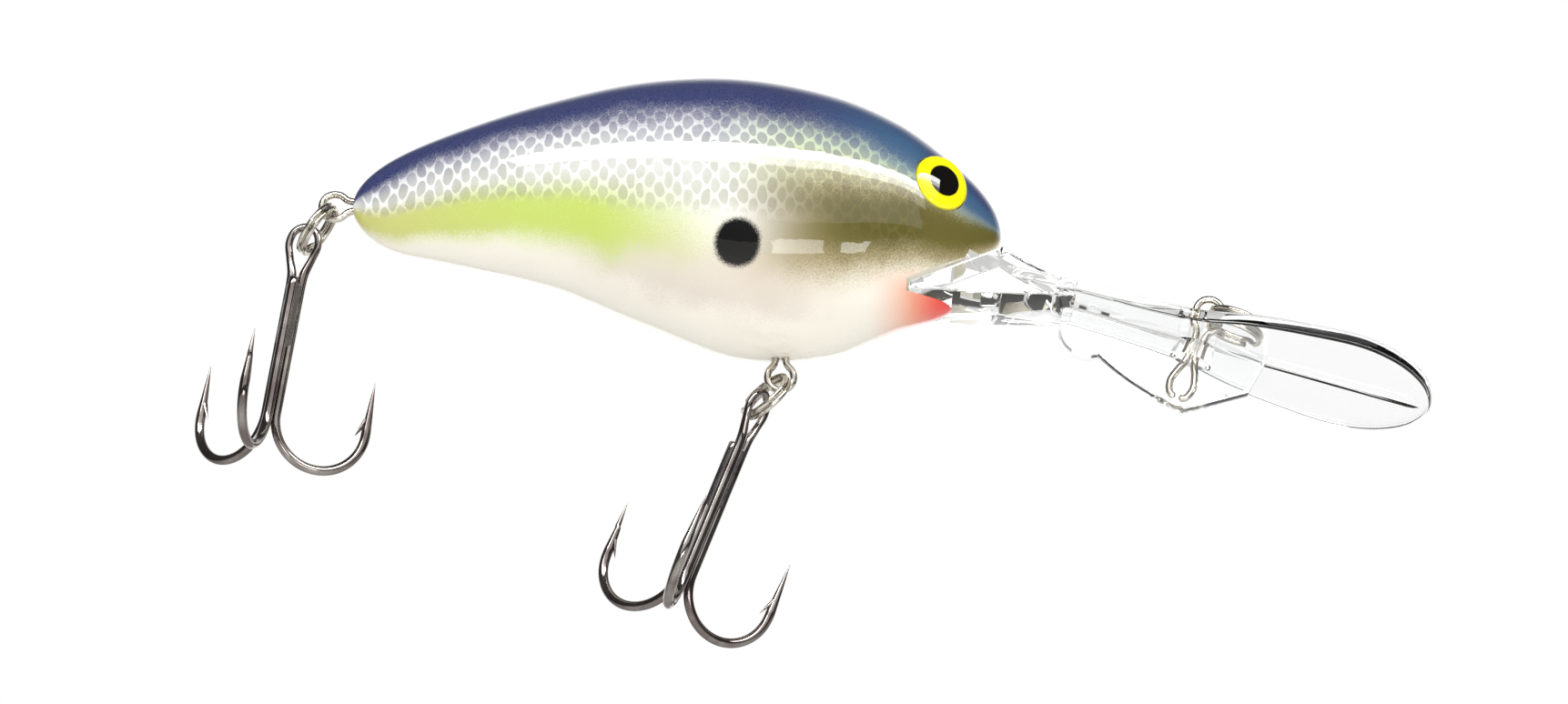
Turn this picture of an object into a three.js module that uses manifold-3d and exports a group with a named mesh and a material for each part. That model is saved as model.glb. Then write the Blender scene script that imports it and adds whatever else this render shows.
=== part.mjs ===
// Deep-diving crankbait lure, in millimetres.
// +X points forward past the diving lip, +Z is the back, +Y is the fish's left.
// The origin is the centre of the line-tie eye. The mid plane is y = 0.
import * as THREE from 'three';
import { mergeVertices } from 'three/addons/utils/BufferGeometryUtils.js';
import Module from 'manifold-3d';

const wasm = await Module();
wasm.setup();

// ---- driving dimensions ----
const tailX = -100.1;
const noseX = -24.1;
const bodyCentreX = (tailX + noseX) / 2;
const bodyHalfLength = (noseX - tailX) / 2;
const sectionPower = 2.15;
const wall = 1.6;

// Stations along the body: x, back height, belly height, half width.
const stations = [
  [tailX, 12.9, 12.9, 0],
  [-96, 18.3, 7.9, 2.9],
  [-88, 21.9, 6.0, 5.9],
  [-77, 25.4, 3.4, 8.9],
  [-66, 27.8, -1.2, 11.0],
  [-55, 28.2, -5.3, 12.1],
  [-44, 26.1, -5.0, 11.8],
  [-36, 22.6, -1.8, 9.9],
  [-30, 18.1, 0.2, 7.0],
  [noseX, 9.1, 9.1, 0],
];

const bulkheadX = -39.5;
const mouth = { cornerX: -35.4, cornerZ: 1.0, frontX: -20, upperZ: 8.8, lowerZ: -0.7 };

const lipSlope = Math.atan(0.2975);
const lipCentreZ = -3.79;
const lipThickness = 1.4;
// Half outline of the board: distance along it from below the eye, half width.
const lipOutline = [
  [-26, 6.0], [-17, 7.4], [-7, 8.0], [-2, 9.3], [3.5, 12.6], [10, 14.8],
  [16.5, 15.8], [21, 13.6], [24.2, 9.4], [25.8, 5.0],
];
const lipTip = 26.4;
const tongueEndX = -37.6;
const tongueHalfWidth = 5;
const tongueThickness = 2.2;
const finThickness = 2.4;
const bossHeight = 3.2;
const bossRun = 4.9;
const fitGap = 0.3;

const wireRadius = 0.43;
const eyeRadius = 1.5;
const legOffset = 0.53;
const anchorRadius = 1.4;
const tieDirection = [-0.363, 0, -0.932];
const bellyHangerAt = [-49.9, 0, -7.96];
const tailHangerAt = [-102.2, 0, 12.95];

const ringRadius = 3.18;
const ringWire = 0.31;
const ringPitch = 0.66;
const ringLink = 0.2;

const hookWire = 0.6;
const hookShank = 0.72;
const hookPointRadius = 11.6;
const hookBottom = 27;
const hookTip = 14.5;
const hookEyeRadius = 1.75;
const shankTop = 4.6;

const fishEye = { x: -31.2, z: 13.5, radius: 3.45, forward: 30, up: 8 };
const socketDepth = 1.5;

const chamberWall = 0.9;
const chamberGap = 0.35;
const balls = [
  { name: 'rattle_ball_front', x: -47, z: 14, radius: 2.5 },
  { name: 'rattle_ball_middle', x: -60, z: 14, radius: 3 },
  { name: 'rattle_ball_rear', x: -73, z: 14, radius: 2.25 },
];
const ballasts = [
  { name: 'ballast_front', x: -42.4, z: 0.9, radius: 3.4, halfLength: 4.4 },
  { name: 'ballast_rear', x: -59.5, z: 0.8, radius: 2.6, halfLength: 4.0 },
];

// ---- finishes ----
const finish = (color, roughness, metalness, extra = {}) =>
  new THREE.MeshStandardMaterial({ color, roughness, metalness, ...extra });
const paint = () => finish(0xd9dcc8, 0.18, 0);
const clear = () => finish(0xeef2f4, 0.05, 0, { transparent: true, opacity: 0.35 });
const nickel = () => finish(0xc9c5bb, 0.22, 1);
const blackNickel = () => finish(0x4a4146, 0.2, 1);
const steel = () => finish(0x9a9a9c, 0.35, 1);
const yellow = () => finish(0xfbf41a, 0.2, 0);

// ---- solids ----
const solidOf = (geometry) => {
  const bare = geometry.clone();
  bare.deleteAttribute('normal');
  bare.deleteAttribute('uv');
  const merged = mergeVertices(bare, 1e-4);
  return new wasm.Manifold(new wasm.Mesh({
    numProp: 3,
    vertProperties: new Float32Array(merged.attributes.position.array),
    triVerts: new Uint32Array(merged.index.array),
  }));
};

const geometryOf = (solid) => {
  const mesh = solid.getMesh();
  const geometry = new THREE.BufferGeometry();
  geometry.setAttribute('position', new THREE.BufferAttribute(mesh.vertProperties, 3));
  geometry.setIndex(new THREE.BufferAttribute(mesh.triVerts, 1));
  return geometry;
};

const box = (x0, x1, y0, y1, z0, z1) => {
  const geometry = new THREE.BoxGeometry(x1 - x0, y1 - y0, z1 - z0);
  geometry.translate((x0 + x1) / 2, (y0 + y1) / 2, (z0 + z1) / 2);
  return solidOf(geometry);
};

// A cylinder along Y.
const crossCylinder = (x, z, radius, halfLength, sides = 14) => {
  const geometry = new THREE.CylinderGeometry(radius, radius, 2 * halfLength, sides);
  geometry.translate(x, 0, z);
  return solidOf(geometry);
};

// A plate of an outline drawn in X and Z, as thick as 2 * halfWidth across Y.
const crossPlate = (shape, halfWidth) => {
  const geometry = new THREE.ExtrudeGeometry(shape, { depth: 2 * halfWidth, bevelEnabled: false });
  geometry.translate(0, 0, -halfWidth);
  geometry.rotateX(Math.PI / 2);
  return solidOf(geometry);
};

const disc = (radius, sides) => {
  const shape = new THREE.Shape();
  for (let i = 0; i < sides; i += 1) {
    const angle = (i / sides) * 2 * Math.PI;
    const point = [radius * Math.cos(angle), radius * Math.sin(angle)];
    if (i === 0) shape.moveTo(...point);
    else shape.lineTo(...point);
  }
  return shape;
};

const tube = (points, radius, steps, sides = 6) => {
  const curve = new THREE.CatmullRomCurve3(points, false, 'centripetal');
  return new THREE.ExtrudeGeometry(disc(radius, sides), {
    steps, extrudePath: curve, bevelEnabled: false,
  });
};

// ---- body ----
const stationAngle = (x) => Math.acos(THREE.MathUtils.clamp(
  (bodyCentreX - x) / bodyHalfLength, -1, 1));
const stationAngles = stations.map((row) => stationAngle(row[0]));

// Smooth curve through one column of the stations, read at a ring angle.
const profile = (column, angle) => {
  const last = stations.length - 1;
  let i = 0;
  while (i < last - 1 && stationAngles[i + 1] < angle) i += 1;
  const value = (k) => stations[k][column];
  const slope = (k) => {
    const a = Math.max(k - 1, 0);
    const b = Math.min(k + 1, last);
    return (value(b) - value(a)) / (stationAngles[b] - stationAngles[a]);
  };
  const span = stationAngles[i + 1] - stationAngles[i];
  const t = (angle - stationAngles[i]) / span;
  const rise = t * t * (3 - 2 * t);
  const bend = t * (1 - t);
  return value(i) * (1 - rise) + value(i + 1) * rise
    + span * bend * ((1 - t) * slope(i) - t * slope(i + 1));
};

const section = (angle) => {
  const back = profile(1, angle);
  const belly = profile(2, angle);
  return { middle: (back + belly) / 2, height: (back - belly) / 2, width: profile(3, angle) };
};

// The body's skin, moved inwards by inset, made from a sphere with its poles on X.
const bodySolid = (inset, rings, around) => {
  const geometry = new THREE.SphereGeometry(1, around, rings);
  geometry.rotateZ(Math.PI / 2);
  const position = geometry.attributes.position;
  const shrink = 1 - inset / bodyHalfLength;
  for (let i = 0; i < position.count; i += 1) {
    const point = new THREE.Vector3().fromBufferAttribute(position, i);
    const angle = Math.acos(THREE.MathUtils.clamp(-point.x, -1, 1));
    const { middle, height, width } = section(angle);
    const radial = Math.hypot(point.y, point.z);
    const away = radial < 1e-6 ? 0 : 1;
    const cy = away ? point.y / radial : 0;
    const cz = away ? point.z / radial : 0;
    const power = away * (Math.abs(cy) ** sectionPower + Math.abs(cz) ** sectionPower || 1)
      ** (-1 / sectionPower);
    position.setXYZ(
      i,
      bodyCentreX + bodyHalfLength * shrink * point.x,
      Math.max(width - inset, 0.02) * cy * power,
      middle + Math.max(height - inset, 0.02) * cz * power,
    );
  }
  return solidOf(geometry);
};

// Half width of the skin at a place on the flank.
const flankY = (x, z) => {
  const { middle, height, width } = section(stationAngle(x));
  const rise = Math.abs((z - middle) / height) ** sectionPower;
  return width * (1 - rise) ** (1 / sectionPower);
};

const eyeFrame = (side) => {
  const forward = THREE.MathUtils.degToRad(fishEye.forward);
  const up = THREE.MathUtils.degToRad(fishEye.up);
  const normal = new THREE.Vector3(
    Math.sin(forward) * Math.cos(up),
    side * Math.cos(forward) * Math.cos(up),
    Math.sin(up),
  );
  const at = new THREE.Vector3(fishEye.x, side * flankY(fishEye.x, fishEye.z), fishEye.z);
  const turn = new THREE.Quaternion().setFromUnitVectors(new THREE.Vector3(0, 1, 0), normal);
  return { at, normal, turn };
};

const socket = (side) => {
  const { at, normal, turn } = eyeFrame(side);
  const depth = 6;
  const geometry = new THREE.CylinderGeometry(
    fishEye.radius + fitGap, fishEye.radius + fitGap, depth, 28);
  geometry.applyQuaternion(turn);
  const middle = at.clone().addScaledVector(normal, depth / 2 - socketDepth);
  geometry.translate(middle.x, middle.y, middle.z);
  return solidOf(geometry);
};

// ---- bent wires with an eye at one end and an anchor loop at the other ----
// Half of the wire's run, as distance across and distance along from the eye's centre.
const wireHalf = (anchorAt, anchorLength) => [
  [0.22, anchorAt + anchorRadius + anchorLength],
  [0.95, anchorAt + anchorRadius * 0.8 + anchorLength],
  [anchorRadius, anchorAt + anchorLength * 0.6],
  [1.05, anchorAt - anchorRadius * 0.9],
  [legOffset, anchorAt - anchorRadius * 1.9],
  [legOffset, eyeRadius + 1.0],
  [legOffset + 0.22, eyeRadius + 0.05],
  [eyeRadius * 0.93, eyeRadius * 0.45],
  [eyeRadius, -eyeRadius * 0.2],
  [eyeRadius * 0.7, -eyeRadius * 0.76],
];

const hangerPoints = (at, along, anchorAt, anchorLength) => {
  const centre = new THREE.Vector3(...at);
  const axis = new THREE.Vector3(...along).normalize();
  const across = new THREE.Vector3(axis.z, 0, -axis.x);
  const half = wireHalf(anchorAt, anchorLength);
  const place = ([side, run]) => centre.clone()
    .addScaledVector(across, side).addScaledVector(axis, run);
  const mirrored = half.map(([side, run]) => [-side, run]).reverse();
  return [...half.map(place), place([0, -eyeRadius * 1.03]), ...mirrored.map(place)];
};

const hangers = {
  line_tie_wire: hangerPoints([0, 0, 0], tieDirection, 9.3, 0.55),
  belly_hanger: hangerPoints(bellyHangerAt, [0, 0, 1], 5.4, 0),
  tail_hanger: hangerPoints(tailHangerAt, [1, 0, 0.02], 6.2, 0),
};
const hangerWire = (name) => tube(hangers[name], wireRadius, 48);
const wireChannel = (name) => solidOf(tube(hangers[name], wireRadius + fitGap, 48));

// ---- the two halves of the body ----
const mouthCut = () => {
  const shape = new THREE.Shape();
  shape.moveTo(mouth.cornerX, mouth.cornerZ + 0.9);
  shape.lineTo(mouth.cornerX, mouth.cornerZ - 0.3);
  shape.lineTo(mouth.frontX, mouth.lowerZ);
  shape.lineTo(mouth.frontX, mouth.upperZ);
  shape.closePath();
  return crossPlate(shape, 20);
};

// A plate lying along the board's slope, between two places along it.
const slopedPlate = (shape, thickness) => {
  const geometry = new THREE.ExtrudeGeometry(shape, {
    depth: thickness, bevelEnabled: false, curveSegments: 10,
  });
  geometry.translate(0, 0, -thickness / 2);
  geometry.rotateY(lipSlope);
  geometry.translate(0, 0, lipCentreZ);
  return solidOf(geometry);
};

const tongueShape = (gap) => {
  const shape = new THREE.Shape();
  const rear = tongueEndX / Math.cos(lipSlope) - gap;
  const half = tongueHalfWidth + gap;
  shape.moveTo(rear, -half);
  shape.lineTo(-24, -half);
  shape.lineTo(-24, half);
  shape.lineTo(rear, half);
  shape.closePath();
  return shape;
};
const hangerBoss = (at, along) => {
  const [x, , z] = at;
  return along === 'up'
    ? box(x - 3.2, x + 3.2, -20, 20, z, z + 8.6)
    : box(x, x + 9.6, -20, 20, z - 3.2, z + 3.2);
};

const buildBody = () => {
  const skin = bodySolid(0, 26, 28);
  let cavity = bodySolid(wall, 16, 18).intersect(box(-110, bulkheadX, -20, 20, -20, 40));
  cavity = cavity.subtract(hangerBoss(bellyHangerAt, 'up'));
  cavity = cavity.subtract(hangerBoss(tailHangerAt, 'forward'));
  for (const ball of balls) {
    const bore = ball.radius + chamberGap;
    const hollow = crossCylinder(ball.x, ball.z, bore, 20).intersect(cavity);
    cavity = cavity.subtract(crossCylinder(ball.x, ball.z, bore + chamberWall, 20)).add(hollow);
  }
  for (const { x, z, radius } of ballasts) {
    cavity = cavity.subtract(crossCylinder(x, z, radius + chamberGap + chamberWall, 20));
  }
  let body = skin.subtract(cavity);
  for (const { x, z, radius, halfLength } of ballasts) {
    body = body.subtract(
      crossCylinder(x, z, radius + chamberGap, halfLength + chamberGap));
  }
  body = body.subtract(mouthCut());
  body = body.subtract(slopedPlate(tongueShape(fitGap), tongueThickness + 2 * fitGap));
  body = body.subtract(wireChannel('belly_hanger'));
  body = body.subtract(wireChannel('tail_hanger'));
  body = body.subtract(socket(-1));
  body = body.subtract(socket(1));
  return {
    body_shell_right: body.intersect(box(-120, 0, -20, 0, -20, 40)),
    body_shell_left: body.intersect(box(-120, 0, 0, 20, -20, 40)),
  };
};

// ---- diving lip ----
const boardShape = () => {
  const right = lipOutline.map(([along, half]) => new THREE.Vector2(along, -half));
  const left = lipOutline.map(([along, half]) => new THREE.Vector2(along, half)).reverse();
  const edge = new THREE.SplineCurve([...right, new THREE.Vector2(lipTip, 0), ...left]);
  return new THREE.Shape(edge.getPoints(56));
};

// The root that fills the mouth and thins into the board.
const rootShape = () => {
  const shape = new THREE.Shape();
  shape.moveTo(mouth.cornerX + 0.4, mouth.cornerZ + 0.85);
  shape.lineTo(mouth.cornerX + 0.4, mouth.cornerZ + 0.1);
  shape.lineTo(-27.5, 0.35);
  shape.quadraticCurveTo(-22.5, 0.3, -16, 0.1);
  shape.lineTo(-15, 1.2);
  shape.quadraticCurveTo(-21, 3.6, -24.2, 6.1);
  shape.closePath();
  return shape;
};

// The fin under the board that holds the anchor loop of the line-tie wire.
const finShape = () => {
  const shape = new THREE.Shape();
  shape.moveTo(-18, 1.2);
  shape.quadraticCurveTo(-12.5, -8.2, -3.3, -12.1);
  shape.quadraticCurveTo(-1.5, -11.9, 6.5, -6.2);
  shape.lineTo(6, -5.4);
  shape.closePath();
  return shape;
};

const buildLip = () => {
  const board = slopedPlate(boardShape(), lipThickness);
  const tongue = slopedPlate(tongueShape(0), tongueThickness);
  const root = crossPlate(rootShape(), 6.2);
  const fin = crossPlate(finShape(), finThickness / 2);
  const boss = new THREE.CylinderGeometry(2.2, 2.8, bossHeight, 18);
  boss.translate(0, -bossRun, 0);
  boss.applyQuaternion(new THREE.Quaternion().setFromUnitVectors(
    new THREE.Vector3(0, -1, 0), new THREE.Vector3(...tieDirection).normalize()));
  return board.add(tongue).add(root).add(fin).add(solidOf(boss))
    .subtract(wireChannel('line_tie_wire'));
};

// ---- split rings ----
// Two turns of wire side by side, with the step between them at the first angle.
const ringGeometry = () => {
  const turns = 40;
  const stepHalf = 0.3;
  const points = [];
  for (let i = 0; i <= turns; i += 1) {
    const angle = stepHalf + (i / turns) * (4 * Math.PI - 2 * stepHalf);
    const toStep = THREE.MathUtils.clamp((angle - 2 * Math.PI) / stepHalf, -1, 1);
    const offset = (ringPitch / 2) * Math.sin((toStep * Math.PI) / 2);
    points.push(new THREE.Vector3(
      ringRadius * Math.cos(angle), ringRadius * Math.sin(angle), offset));
  }
  return tube(points, ringWire, 60);
};

// Places a ring with its link at a hole: along points from the link to the far side, and
// across is the way its wire passes through the hole.
const placeRing = (mesh, link, along, across, step) => {
  const d = new THREE.Vector3(...along).normalize();
  const side = new THREE.Vector3(...across);
  side.addScaledVector(d, -d.dot(side)).normalize();
  const normal = new THREE.Vector3().crossVectors(d, side);
  const start = THREE.MathUtils.degToRad(step);
  const first = d.clone().multiplyScalar(Math.cos(start)).addScaledVector(side, Math.sin(start));
  const second = new THREE.Vector3().crossVectors(normal, first);
  mesh.quaternion.setFromRotationMatrix(new THREE.Matrix4().makeBasis(first, second, normal));
  mesh.position.set(...link).addScaledVector(d, ringLink + ringRadius);
  return mesh;
};

// ---- treble hooks ----
// A hook is drawn with its shank on the Z axis, its eye's centre at the origin and
// its bends below. A hook's run lies in a plane through the axis at an angle.
const radialPoint = (angle, radius, run) => new THREE.Vector3(
  radius * Math.cos(angle), radius * Math.sin(angle), -run);

const bendRadius = (hookPointRadius - hookShank) / 2;
const bendRun = hookBottom - hookWire - bendRadius;
const coneLength = 6;

const hookRun = (angle) => {
  const points = [
    radialPoint(angle, hookShank, 9),
    radialPoint(angle, hookShank, 13),
    radialPoint(angle, hookShank, 17),
  ];
  const arcSteps = 8;
  for (let i = 0; i <= arcSteps; i += 1) {
    const turn = (i / arcSteps) * Math.PI;
    const radius = hookShank + bendRadius * (1 - Math.cos(turn));
    points.push(radialPoint(angle, radius, bendRun + bendRadius * Math.sin(turn)));
  }
  points.push(radialPoint(angle, hookPointRadius, hookTip + coneLength - 0.2));
  return points;
};

const pointCone = (angle) => {
  const cone = new THREE.CylinderGeometry(0.05, hookWire, coneLength, 7);
  cone.rotateX(Math.PI / 2);
  const middle = radialPoint(angle, hookPointRadius, hookTip + coneLength / 2);
  cone.translate(middle.x, middle.y, middle.z);
  return solidOf(cone);
};

// The barb stands off the inner side of the point, aimed down at the bend.
const barbCone = (angle) => {
  const length = 2;
  const cone = new THREE.CylinderGeometry(0.04, 0.34, length, 6);
  cone.rotateX(-Math.PI / 2);
  cone.rotateY(THREE.MathUtils.degToRad(28));
  cone.rotateZ(angle);
  const middle = radialPoint(angle, hookPointRadius - 0.62, hookTip + coneLength + 0.1);
  cone.translate(middle.x, middle.y, middle.z);
  return solidOf(cone);
};

const withPoint = (wire, angles) => {
  let solid = solidOf(wire);
  for (const angle of angles) {
    solid = solid.add(pointCone(angle)).add(barbCone(angle));
  }
  return geometryOf(solid);
};

const rightAngle = THREE.MathUtils.degToRad(30);
const leftAngle = THREE.MathUtils.degToRad(150);
const nearAngle = THREE.MathUtils.degToRad(-90);

const doubleHook = () => {
  const shankX = hookShank * Math.cos(rightAngle);
  const shankY = hookShank * Math.sin(rightAngle);
  const eyeSide = [
    [shankX, 5.5], [shankX + 0.1, 3.8], [1.35, 1.9], [hookEyeRadius, 0.1], [1.3, -1.4],
  ];
  const side = (sign) => eyeSide.map(([x, run]) => new THREE.Vector3(sign * x, shankY, -run));
  const points = [
    ...hookRun(rightAngle).reverse(),
    ...side(1),
    new THREE.Vector3(0, shankY, 2.05),
    ...side(-1).reverse(),
    ...hookRun(leftAngle),
  ];
  return withPoint(tube(points, hookWire, 80, 7), [rightAngle, leftAngle]);
};

const singleHook = () => {
  const run = hookRun(nearAngle);
  const clear = new THREE.Vector3(0, -0.12, 0);
  const points = [radialPoint(nearAngle, hookShank, shankTop), ...run].map(
    (point, i) => (i < 5 ? point.add(clear) : point));
  return withPoint(tube(points, hookWire, 38, 7), [nearAngle]);
};

// ---- the assembly ----
const crankbait = new THREE.Group();

const add = (name, geometry, material, parent = crankbait) => {
  const mesh = new THREE.Mesh(geometry, material);
  mesh.name = name;
  parent.add(mesh);
  return mesh;
};

for (const [name, solid] of Object.entries(buildBody())) {
  add(name, geometryOf(solid), paint());
}
add('diving_lip', geometryOf(buildLip()), clear());
for (const name of Object.keys(hangers)) {
  add(name, hangerWire(name), nickel());
}

// A domed eye disc, standing in its socket.
const eyeDisc = () => {
  const dome = 0.9;
  const base = 1.0;
  const points = [new THREE.Vector2(0, 0), new THREE.Vector2(fishEye.radius, 0)];
  const steps = 4;
  for (let i = 0; i < steps; i += 1) {
    const turn = (i / steps) * (Math.PI / 2);
    points.push(new THREE.Vector2(
      fishEye.radius * Math.cos(turn), base + dome * Math.sin(turn)));
  }
  points.push(new THREE.Vector2(0, base + dome));
  return new THREE.LatheGeometry(points, 16);
};
for (const [name, side] of [['eye_right', -1], ['eye_left', 1]]) {
  const { at, normal, turn } = eyeFrame(side);
  const mesh = add(name, eyeDisc(), yellow());
  mesh.quaternion.copy(turn);
  mesh.position.copy(at).addScaledVector(normal, fitGap - socketDepth);
}

for (const { name, x, z, radius, halfLength } of ballasts) {
  const slug = new THREE.CylinderGeometry(radius, radius, 2 * halfLength, 20);
  add(name, slug, steel()).position.set(x, 0, z);
}
for (const ball of balls) {
  add(ball.name, new THREE.SphereGeometry(ball.radius, 14, 10), steel())
    .position.set(ball.x, 0, ball.z);
}

placeRing(
  add('line_ring', ringGeometry(), nickel()), [0, 0, 0], [0.93, 0, -0.36], [0, 1, 0], 40);

// A hanger's ring and its treble, hooked on the far side of the ring.
const hang = (prefix, hangerAt, along, across, tilt, turn, slack) => {
  placeRing(add(`${prefix}_ring`, ringGeometry(), nickel()), hangerAt, along, across, 70);
  const d = new THREE.Vector3(...along).normalize();
  const link = new THREE.Vector3(...hangerAt).addScaledVector(d, ringLink + 2 * ringRadius);
  const treble = new THREE.Group();
  const axis = THREE.MathUtils.degToRad(tilt);
  const shankUp = new THREE.Vector3(Math.sin(axis), 0, Math.cos(axis));
  const eyeCentre = link.addScaledVector(shankUp, slack);
  treble.position.copy(eyeCentre);
  treble.rotation.set(0, axis, 0);
  const spin = new THREE.Group();
  spin.rotation.z = THREE.MathUtils.degToRad(turn);
  treble.add(spin);
  add(`${prefix}_treble_double`, doubleHook(), blackNickel(), spin);
  add(`${prefix}_treble_single`, singleHook(), blackNickel(), spin);
  crankbait.add(treble);
};
hang('belly', bellyHangerAt, [-0.5, -0.35, -0.79], [-0.47, 0.87, 0.18], 21.5, -120, 0.9);
hang('tail', tailHangerAt, [-0.57, 0, -0.82], [0, 1, 0], 8.5, -8, 1.0);

export default crankbait;
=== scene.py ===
"""Deep-diving crankbait lure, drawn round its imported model.

The painted body halves, the clear lip, the eyes, the bent wires, the split rings and the
treble hooks are modelled here and stand for their CAD nodes. The ballast and the rattle
balls keep their CAD shape. Lengths in the code are in millimetres until a piece is
finished, and then it is scaled to metres.
"""
import math

import bmesh
import bpy
from bpy.props import FloatProperty, FloatVectorProperty, IntProperty, PointerProperty
from mathutils import Matrix, Vector


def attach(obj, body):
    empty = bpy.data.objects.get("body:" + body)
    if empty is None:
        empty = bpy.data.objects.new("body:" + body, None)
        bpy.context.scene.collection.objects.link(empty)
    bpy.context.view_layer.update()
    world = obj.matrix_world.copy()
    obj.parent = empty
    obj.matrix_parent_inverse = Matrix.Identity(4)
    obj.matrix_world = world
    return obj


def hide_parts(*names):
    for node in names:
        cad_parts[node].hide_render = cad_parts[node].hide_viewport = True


bl_info = {
    "name": "Crankbait Lure",
    "version": (1, 0, 0),
    "blender": (4, 5, 0),
    "location": "View3D > Sidebar > Lure",
    "description": "Builds a deep-diving crankbait round its packed model",
    "category": "Add Mesh",
}

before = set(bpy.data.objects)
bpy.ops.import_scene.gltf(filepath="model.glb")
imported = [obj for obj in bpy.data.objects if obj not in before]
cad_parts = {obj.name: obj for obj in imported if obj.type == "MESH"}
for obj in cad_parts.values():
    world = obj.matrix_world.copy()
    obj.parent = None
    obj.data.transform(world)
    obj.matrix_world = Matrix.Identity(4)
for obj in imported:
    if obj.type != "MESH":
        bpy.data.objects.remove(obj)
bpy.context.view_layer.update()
MM = 0.001


def linear(code):
    """Turns an sRGB hex colour into linear values."""
    channels = [int(code[i:i + 2], 16) / 255 for i in (1, 3, 5)]
    return tuple(c / 12.92 if c <= 0.04045 else ((c + 0.055) / 1.055) ** 2.4 for c in channels)


def length(name, description, default_mm):
    """A length property, given in millimetres and kept in metres."""
    return FloatProperty(name=name, description=description, default=default_mm * MM,
                         min=0.0, unit="LENGTH", precision=5)


def tint(name, description, code):
    """A colour property from an sRGB hex value."""
    return FloatVectorProperty(name=name, description=description, default=linear(code),
                               subtype="COLOR", size=3, min=0.0, max=1.0)


# ---- sizes and colours that a user would change ----
class BodySizes(bpy.types.PropertyGroup):
    """Sizes and paints of the two body halves."""

    wall: length("Wall", "Thickness of the moulded shell", 1.6)
    rings: IntProperty(name="Rings", description="Sections along the body", default=128, min=32)
    around: IntProperty(name="Around", description="Points round one section", default=168, min=32)
    scale_pitch: length("Scale pitch", "Distance between two scales of the same row", 2.15)
    silver: tint("Silver", "Pearl silver of the flank", "#E6E8E8")
    cream: tint("Cream", "Pearl cream of the belly", "#F3EFE2")
    smoke: tint("Smoke", "Overspray that draws the scales", "#7B7450")
    back: tint("Back", "Navy of the back", "#1F2B60")
    lime: tint("Lime", "Chartreuse of the rear flank", "#B9CC58")
    olive: tint("Olive", "Olive gold of the cheek", "#5F5824")
    teal: tint("Teal", "Teal round the eye", "#3B7F8E")
    throat: tint("Throat", "Red of the throat", "#EC3B33")
    spot: tint("Spot", "Black of the shoulder spot", "#0B0909")
    spot_radius: length("Spot radius", "Radius of the shoulder spot", 2.5)


class LipSizes(bpy.types.PropertyGroup):
    """Sizes of the clear diving lip."""

    board: length("Board", "Thickness of the board", 1.4)
    edge: length("Edge", "Rounding of the board's rim", 0.35)
    fin: length("Fin", "Thickness of the fin that holds the line tie", 2.4)
    rib: length("Rib", "Depth of the rib under the board", 0.3)


class HardwareSizes(bpy.types.PropertyGroup):
    """Sizes of the wires, split rings and treble hooks."""

    wire: length("Wire radius", "Radius of the line tie's and hangers' wire", 0.43)
    ring_radius: length("Ring radius", "Radius of a split ring to its wire's middle", 3.18)
    ring_wire: length("Ring wire radius", "Radius of a split ring's wire", 0.31)
    hook_wire: length("Hook wire radius", "Radius of a hook's wire", 0.58)
    eye_wire: length("Hook eye wire radius", "Radius of the wire round the eye", 0.46)
    nickel: tint("Nickel", "Colour of the bright nickel", "#D9D4CA")
    black_nickel: tint("Black nickel", "Colour of the hooks' plating", "#A19B97")


class StudioSizes(bpy.types.PropertyGroup):
    """Camera, lights and floor."""

    distance: length("Camera distance", "Distance from the camera to the middle of the lure", 500)
    view_width: length("View width", "Width seen at the middle of the lure", 182.1)
    elevation: FloatProperty(name="Elevation", description="Angle of the camera above the horizon",
                             default=math.radians(-17.0), subtype="ANGLE")
    floor_drop: length("Floor drop", "Height of the line-tie eye above the floor", 460)
    softbox: FloatProperty(name="Softbox", description="Radiance that each light has a share of",
                           default=11.0, min=0.0)
    room: FloatProperty(name="Room", description="Soft light that comes from all round",
                        default=0.62, min=0.0)


# ---- shape of the body, the same as the CAD source's ----
TAIL_X, NOSE_X = -100.1, -24.1
CENTRE_X, HALF_LENGTH = (TAIL_X + NOSE_X) / 2, (NOSE_X - TAIL_X) / 2
SECTION_POWER = 2.15
STATIONS = [  # x, back height, belly height, half width
    (TAIL_X, 12.9, 12.9, 0), (-96, 18.3, 7.9, 2.9), (-88, 21.9, 6.0, 5.9), (-77, 25.4, 3.4, 8.9),
    (-66, 27.8, -1.2, 11.0), (-55, 28.2, -5.3, 12.1), (-44, 26.1, -5.0, 11.8),
    (-36, 22.6, -1.8, 9.9), (-30, 18.1, 0.2, 7.0), (NOSE_X, 9.1, 9.1, 0),
]
BULKHEAD_X = -39.5
MOUTH = [(-35.4, 1.9), (-35.4, 0.7), (-20.0, -0.7), (-20.0, 8.8)]
FIT_GAP = 0.3
EYE_X, EYE_Z, EYE_RADIUS, EYE_FORWARD, EYE_UP = -31.2, 13.5, 3.45, 30, 8
SOCKET_DEPTH = 1.5
SPOT_PLACE = (-54.8, 4.8, 0.0)
LIP_SLOPE = math.atan(0.2975)
LIP_Z = -3.79
LIP_OUTLINE = [
    (-26, 6.0), (-17, 7.4), (-7, 8.0), (-2, 9.3), (3.5, 12.6), (10, 14.8), (16.5, 15.8),
    (21, 13.6), (24.2, 9.4), (25.8, 5.0),
]
LIP_TIP = 26.4
RIB_RADIUS, ROOT_HALF = 0.42, 6.2
TONGUE_END, TONGUE_ROOT, TONGUE_HALF, TONGUE_THICK = -37.6, -24, 5.0, 2.2
TIE_DIRECTION = Vector((-0.363, 0, -0.932)).normalized()
WIRE_EYE, LEG_OFFSET, ANCHOR_RADIUS = 1.5, 0.53, 1.4
RING_PITCH, RING_LINK = 0.66, 0.2
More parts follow.
